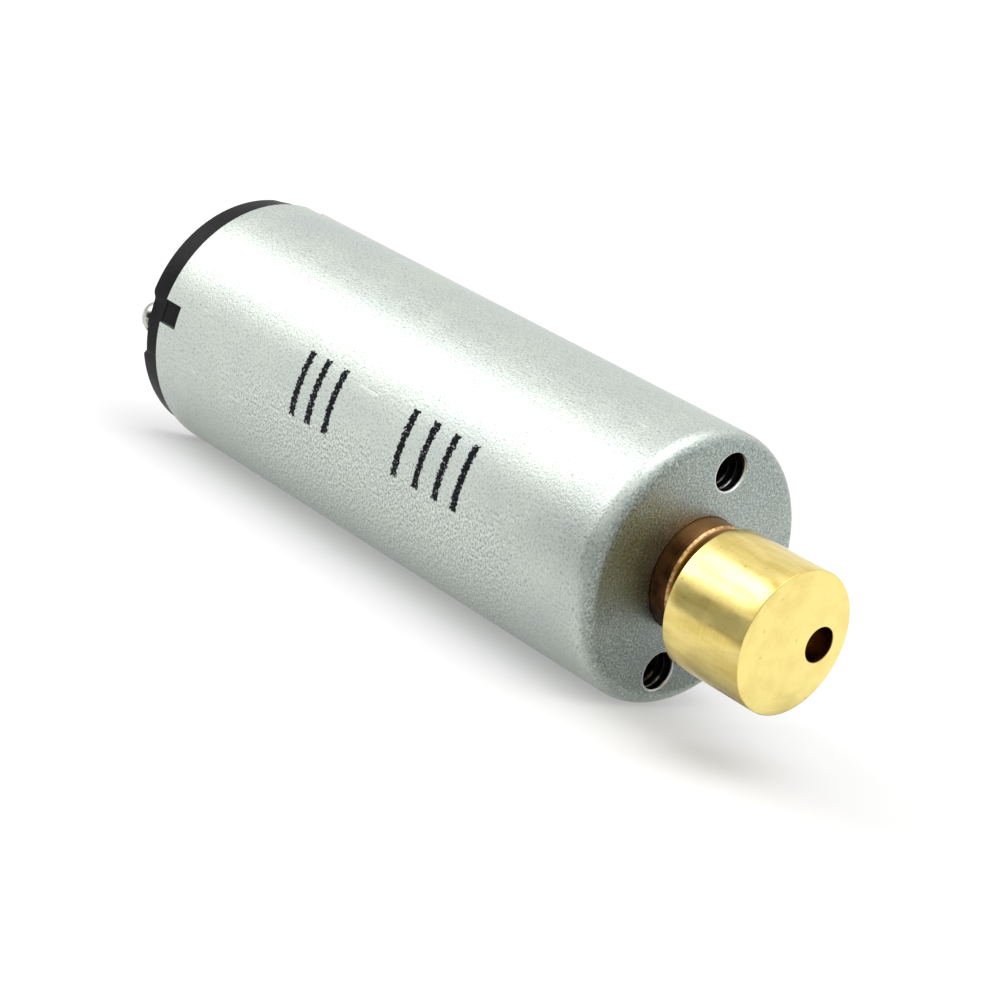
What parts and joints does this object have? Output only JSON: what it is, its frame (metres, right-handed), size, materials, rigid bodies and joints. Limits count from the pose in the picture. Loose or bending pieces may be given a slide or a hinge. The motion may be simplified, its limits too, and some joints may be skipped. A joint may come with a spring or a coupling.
{
  "type": "eccentric weight vibration motor",
  "caption": "Slim cylindrical DC micro motor in a plated steel can, with tapped front screw holes, a bronze boss and an off-centre brass weight on its shaft.",
  "frame": {"origin": "centre of the front mounting face, on the shaft's axis", "axes": "+X along the shaft towards the weight, +Z through the upper tapped hole, so +Y is on the left when looking along +X"},
  "size_m": [0.0388, 0.012, 0.012],
  "materials": {
    "can_steel": "zinc-plated, satin, finely speckled",
    "boss_bronze": "machined copper-brown bronze",
    "sintered_bronze": "porous sintered bronze, oiled",
    "weight_brass": "turned bright brass",
    "shaft_steel": "ground bright steel",
    "cap_plastic": "black moulded plastic",
    "terminal_tin": "tinned",
    "solder": "bright solder",
    "magnet_plate": "nickel-plated sintered magnet",
    "copper_wire": "enamelled copper wire",
    "glass_band": "resin-bonded glass tape",
    "hub_plastic": "moulded phenolic",
    "bar_copper": "polished copper alloy",
    "brush_alloy": "rolled precious-metal alloy",
    "washer_nylon": "natural nylon",
    "damper_rubber": "soft black rubber"
  },
  "bodies": {
    "stator": {"can": "can_steel", "bearing_tube": "boss_bronze", "front_bearing": "sintered_bronze", "inner_bearing": "sintered_bronze", "rear_bearing": "sintered_bronze", "magnet": "magnet_plate", "end_cap": "cap_plastic", "terminal_left": "terminal_tin", "terminal_right": "terminal_tin", "solder_left": "solder", "solder_right": "solder", "brush_left": "brush_alloy", "brush_right": "brush_alloy", "damper_left": "damper_rubber", "damper_right": "damper_rubber"},
    "rotor": {"shaft": "shaft_steel", "eccentric_weight": "weight_brass", "winding": "copper_wire", "winding_band": "glass_band", "winding_hub": "hub_plastic", "winding_taps": "copper_wire", "commutator_core": "hub_plastic", "commutator_bars": "bar_copper", "front_washer": "washer_nylon", "rear_washer": "washer_nylon"}
  },
  "joints": [
    {"name": "shaft_spin", "type": "hinge", "parent": "stator", "child": "rotor", "pos_m": [0, 0, 0], "axis": [1, 0, 0], "continuous": true}
  ]
}
